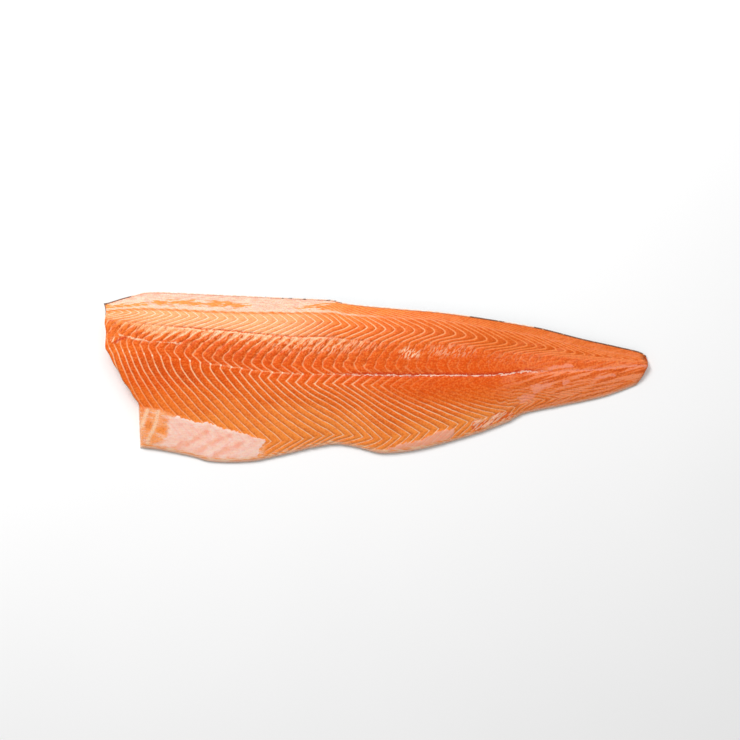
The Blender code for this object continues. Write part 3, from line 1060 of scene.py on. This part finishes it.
def paint_sheets(g, pale):
    """Sheets of fat as pale lines, with broad fingers under the upper seam."""
    g.paint(PEACH, g.smooth(g.gap, 2, 0.3, 0, 0.3), g.fat)
    # Painted shade: dark strokes in the loin, in the troughs between the pale strokes.
    trough = g.smooth(g.strokes, 0.46, 0.36, 0, 0.6)
    g.paint(DARK_FLESH_AND_SHADE, trough, g.loin, g.along(80, -20))

    width = g.smooth(g.seam, -15, 0, 0, FINGER_WIDTH)
    inside = g.calc("SUBTRACT", g.wavy(g.wavy(g.gap, g.mottle, 5), g.strokes, 3), width)
    finger = g.times(g.smooth(inside, 0.5, -0.5), g.smooth(width, 0, 0.3),
                     g.smooth(g.seam, 0.5, -0.5), g.along(-260, -230), g.along(10, -90), 0.95)
    color = g.mix(g.smooth(g.fine, 0.35, 0.65), PEACH_CREAM, between(0.5, CREAM, FAT))
    g.paint(color, finger)

    whole = g.smooth(g.strokes, 0.4, 0.54, g.calc("SUBTRACT", 1, g.loin))
    width = g.smooth(g.deep, 0.1, 0.8, *LINE_WIDTH)
    line = g.times(g.smooth(g.wavy(g.gap, g.fine, 0.7), width, LINE_CORE), g.fat, whole)
    color = g.mix(g.smooth(g.fat, 0.2, 0.9), PEACH_CREAM, CREAM_FAT)
    color = g.mix(g.times(g.high_tail, 0.8), color, PEACH)
    g.paint(g.mix(pale, color, GLOSS), line)


def paint_pin_bones(g):
    """Pin bones: dots towards the head, then a pale thread in a red groove."""
    across = g.wavy(g.value("bones"), g.mottle, 2.5)
    beside = g.times(g.centred(g.value("bone_count")), BLOCK)
    from_dot = g.calc("SQRT", g.calc("ADD", g.times(beside, beside), g.times(across, across)))
    dots = g.times(g.smooth(from_dot, 1.5, 0.4), g.along(0, -60),
                   g.smooth(g.mottle, 0.35, 0.6, 0.3, 1))

    middle = g.times(g.along(-60, 0), g.along(200, 160))
    groove = g.near(g.calc("SUBTRACT", across, 0.8), 3.6, 0.8, 0.8)
    g.paint(BLOOD, groove, middle)
    across = g.wavy(g.wavy(across, g.fine, 2), g.dash, 4)
    torn = g.smooth(g.noise((5, 4, 4)), 0.38, 0.52, 0.25, 1)
    g.paint(between(0.5, PINK, GLOSS), g.near(across, 1.1, 0.25), torn, middle)
    broken = g.times(g.near(across, 0.9, 0.2, 0.6), g.smooth(g.mottle, 0.42, 0.56))
    g.paint(CREAM, broken, g.along(-200, -150), g.along(0, -60))
    g.paint(BLUSH, g.near(across, 1.8, 0.3, 0.75), g.along(190, 220))
    g.paint(GLOSS, dots)


def paint_seams(g):
    """The upper seam with pale dashes below it, and the back seam."""
    seam = g.wavy(g.wavy(g.seam, g.mottle, 3.5), g.dash, 2)
    here = g.times(g.along(-250, -200), g.along(-20, -80))
    g.paint(DEEP, g.near(seam, 1.2, 0.3, 0.9), here, g.smooth(g.dash, 0.35, 0.5))
    dashes = g.near(g.calc("ADD", seam, 1.5), 1, 0.2, 0.8)
    g.paint(FAT, dashes, here, g.smooth(g.dash, 0.6, 0.45))
    back = g.wavy(g.value("back"), g.mottle, 2.5)
    below = g.near(g.calc("ADD", back, 2.6), 1.6, 0.3, 0.6)
    g.paint(ORANGE, below, g.along(0, -100))
    g.paint(PALE, g.near(back, 1.5, 0.4), g.along(30, -80, 0.06, 0.75))


def paint_torn_places(g):
    """Scraped and torn flesh, and two pale stripes at the belly's corner."""
    g.paint(FAT, g.smooth(g.strokes, 0.5, 0.6), g.value("scuff"))
    tear = g.smooth(g.noise((11, 1.7, 3), 1, 38), 0.47, 0.53)
    torn = g.blot("torn", g.mottle, 0.8, 0.45, 0.7, 0, 0.9)
    g.paint(g.mix(tear, BROWN, g.mix(g.smooth(g.fine, 0.3, 0.7), CREAM, PINK)), torn)
    g.paint(FAT, g.blot("stripe", g.fine, 2, 3, 0.8, 0, 0.8))


def paint_film(g):
    """White film of the belly, with pink streaks and a brighter torn lip."""
    film = g.wavy(g.wavy(g.value("film"), g.fine, 4), g.mottle, 7)
    film = g.smooth(film, -FILM_EDGE, g.along(-215, -235, FILM_EDGE, 8))
    streak = g.blot("streak", g.mottle, 6, 4.5, 0, 0, 0.65)
    color = g.mix(streak, g.mix(g.smooth(g.mottle, 0.3, 0.7, 0, 0.45), PINK, WHITE), BLUSH)
    color = g.mix(g.smooth(g.fibre, 0.45, 0.75, 0, 0.45), color, BLUSH)
    color = g.mix(g.smooth(g.gap, 2.6, 0.6, 0, 0.22), color, FAT)
    color = g.mix(g.smooth(g.gap, 2.6, 4.4, 0, 0.3), color, BLUSH)
    lip = g.times(g.blot("film", g.mottle, 8, 4, 1, 0, 0.75),
                  g.smooth(g.mottle, 0.4, 0.6, 0.2, 1),
                  g.along(-200, -170, 1, 0.35), g.along(-228, -222))
    color = g.mix(lip, color, WHITE)
    color = g.mix(g.along(-80, -40, 0, 0.6), color, BLUSH)
    g.paint(color, film, g.along(-80, -40, 0.97, 0.72))
    return film


def paint_belly_edge(g):
    """Pale folded strip along the belly edge, palest at its brim."""
    fold = g.smooth(g.noise((16, 1.3, 3), 2, -6), 0.42, 0.58)
    strip = g.blot("edge", g.mottle, 6, 6.5, 3)
    g.paint(g.mix(fold, FAT, PEACH), strip, g.along(170, 130, 0.25, 0.85))
    g.paint(PALE, g.blot("edge", g.mottle, 1.5, 3.2, 1.4, 0, 0.7))


def paint_marks(g):
    """Sheen in the tail, the uppermost bones and a red mark at the head."""
    g.paint(BLUSH, g.blot("sheen", g.mottle, 8, -0.5, 1.5, 0, 0.75))
    bones = g.blot("upper_bones", g.mottle, 6, 1.2, 0.2)
    g.paint(FAT, bones, g.smooth(g.fine, 0.4, 0.6, 0.1, 0.8))
    g.paint(BLOOD, g.blot("mark", g.fine, 2, 2, 0.5, 0, 0.8))


def paint_specks(g, film):
    """Fine specks, fainter on the film and high in the tail."""
    speck = g.noise((1.9, 1.9, 1.9), 1)
    here = g.times(g.smooth(film, 0, 1, 1, 0.4), g.smooth(g.high_tail, 0, 1, 1, 0.6))
    g.paint(DARK_FLESH_AND_SHADE, g.smooth(speck, 0.5, 0.34, 0, 0.26), here)
    g.paint(PEACH, g.smooth(speck, 0.5, 0.66, 0, 0.32), here)


def flesh_material():
    """Moist raw flesh: orange blocks, pale sheets of fat, film and seams."""
    g = FleshGraph("salmon_flesh_raw")
    paint_muscle(g)
    paint_tail_streaks(g)
    paint_shade(g)
    pale = paint_pale_bands(g)
    paint_sheets(g, pale)
    paint_pin_bones(g)
    paint_seams(g)
    paint_torn_places(g)
    film = paint_film(g)
    paint_belly_edge(g)
    paint_marks(g)
    paint_specks(g, film)
    rough = g.calc("MAXIMUM", g.smooth(g.mottle, 0.3, 0.7, 0.38, 0.54), g.times(g.high_tail, 0.7))
    g.shade(Base_Color=g.color, Roughness=rough, Specular_IOR_Level=0.17)
    g.shade(Subsurface_Weight=0.12, Subsurface_Scale=0.0015, Subsurface_Radius=(1, 0.35, 0.15))
    grain = g.noise((1.2, 1.2, 1.2))
    g.bump(g.calc("ADD", g.times(grain, 0.5), g.fibre), 0.12, 0.5)
    return g.material


def skin_material():
    """Wet scaled skin: blue-black at the rim, silver below."""
    g = Graph("salmon_skin_scaled")
    cloud = g.noise((26, 14, 14), 3)
    turn = g.wavy(g.value("turn"), cloud, 0.5)
    color = g.mix(g.smooth(turn, 0.1, 0.6), SKIN_BACK, SKIN_FLANK)
    color = g.mix(g.smooth(turn, 0.55, 1), color, SKIN_SILVER)
    scale_tint = g.cells((3.6, 2.6, 2.6))["Color"]
    color = g.mix(g.smooth(scale_tint, 0.2, 0.9, 0, 0.3), color, SKIN_SILVER)
    scale_edge = g.smooth(g.cells((3.6, 2.6, 2.6), "DISTANCE_TO_EDGE")["Distance"], 0, 0.12)
    color = g.mix(scale_edge, g.mix(0.6, color, SKIN_BACK), color)
    from_spot = g.calc("ADD", g.cells((24, 15, 15))["Distance"], g.times(cloud, 0.12))
    color = g.mix(g.smooth(from_spot, 0.2, 0.13, 0, 0.8), color, SKIN_SPOT)
    g.shade(Base_Color=color, Metallic=g.smooth(turn, 0.3, 0.9, 0.1, 0.45))
    g.shade(Roughness=g.smooth(cloud, 0.3, 0.7, 0.22, 0.36), Specular_IOR_Level=0.6)
    g.bump(scale_edge, 0.25, 0.6)
    return g.material


def rim_material():
    """Cut edge of the skin: pale, and dark where its outer face shows."""
    g = Graph("salmon_skin_edge")
    fine = g.noise((4, 2, 2))
    dark = g.smooth(g.wavy(g.value("dark"), fine, 2), 0.5, 0.9)
    pale = g.mix(g.smooth(fine, 0.3, 0.7), RIM_PEACH, RIM_PALE)
    g.shade(Base_Color=g.mix(dark, pale, RIM_BROWN), Roughness=0.4)
    g.bump(fine, 0.2, 0.5)
    return g.material


def floor_material():
    g = Graph("table_white")
    haze = g.noise((220, 220, 220))
    g.shade(Base_Color=g.mix(haze, *FLOOR_WHITES), Roughness=0.7, Specular_IOR_Level=0.2)
    return g.material


def add_object(name, data):
    added = bpy.data.objects.new(name, data)
    bpy.context.scene.collection.objects.link(added)
    return added


def add_piece(name, mesh, node, materials):
    piece = add_object(name, mesh)
    for material in materials:
        mesh.materials.append(material)
    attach(piece, "root")
    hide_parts(node)
    return piece


def thicken_skin(skin):
    """Inward thickness, with the second material on cut edges."""
    solidify = skin.modifiers.new("thickness", "SOLIDIFY")
    solidify.thickness = SKIN_THICKNESS * MM
    solidify.offset = -1.0
    solidify.use_even_offset = True
    solidify.material_offset_rim = 1
    solidify.material_offset = 1


def make_camera(shift):
    data = bpy.data.cameras.new("camera")
    data.sensor_width = SENSOR
    data.lens = SENSOR * CAMERA_HEIGHT / (PHOTO_PIXELS * PIXEL)
    camera = add_object("camera", data)
    x, y = (middle * MM + move for middle, move in zip(PHOTO_MIDDLE, shift))
    camera.location = (x, y, (CAMERA_HEIGHT + FOCUS_HEIGHT) * MM)
    bpy.context.scene.camera = camera


def make_light(name, place, size, power):
    """A round lamp facing the middle."""
    data = bpy.data.lights.new(name, "AREA")
    data.shape = "DISK"
    data.size = size
    data.energy = power
    light = add_object(name, data)
    light.location = place
    light.rotation_euler = (-Vector(place)).to_track_quat("-Z", "Y").to_euler()


def make_stage():
    mesh = bpy.data.meshes.new("floor")
    half = FLOOR_HALF * MM
    corners = [(-half, -half, 0), (half, -half, 0), (half, half, 0), (-half, half, 0)]
    mesh.from_pydata(corners, [], [(0, 1, 2, 3)])
    mesh.materials.append(floor_material())
    floor = add_object("floor", mesh)
    for name, lamp in LIGHTS.items():
        make_light(name, *lamp)
    world = bpy.data.worlds.new("studio")
    world.use_nodes = True
    background = world.node_tree.nodes["Background"]
    background.inputs["Color"].default_value = (1.0, 1.0, 1.0, 1.0)
    background.inputs["Strength"].default_value = WORLD_STRENGTH
    bpy.context.scene.world = world
    bpy.context.scene.view_settings.view_transform = "Standard"


def numbers(box):
    return [list(map(float, corner)) for corner in box]


flesh = FleshShell()
flesh_mesh = flesh.mesh("flesh_detail")
skin_mesh = make_skin(flesh.rim_x, flesh.rim_z).mesh("skin_detail")

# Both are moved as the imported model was, so that the skin's box is centred.
low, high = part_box("skin")
corners = np.array([v.co for v in skin_mesh.vertices])
shift = (Vector((low + high)) / 2.0 - Vector((corners.min(0) + corners.max(0)) / 2.0)).to_2d()
for mesh in (flesh_mesh, skin_mesh):
    mesh.transform(Matrix.Translation((*shift, 0.0)))
    mesh.shade_smooth()
    mesh.set_sharp_from_angle(angle=math.radians(SHARP_ANGLE))

add_piece("flesh_detail", flesh_mesh, "flesh", [flesh_material()])
skin_materials = [skin_material(), rim_material()]
thicken_skin(add_piece("skin_detail", skin_mesh, "skin", skin_materials))
make_camera(shift)
make_stage()
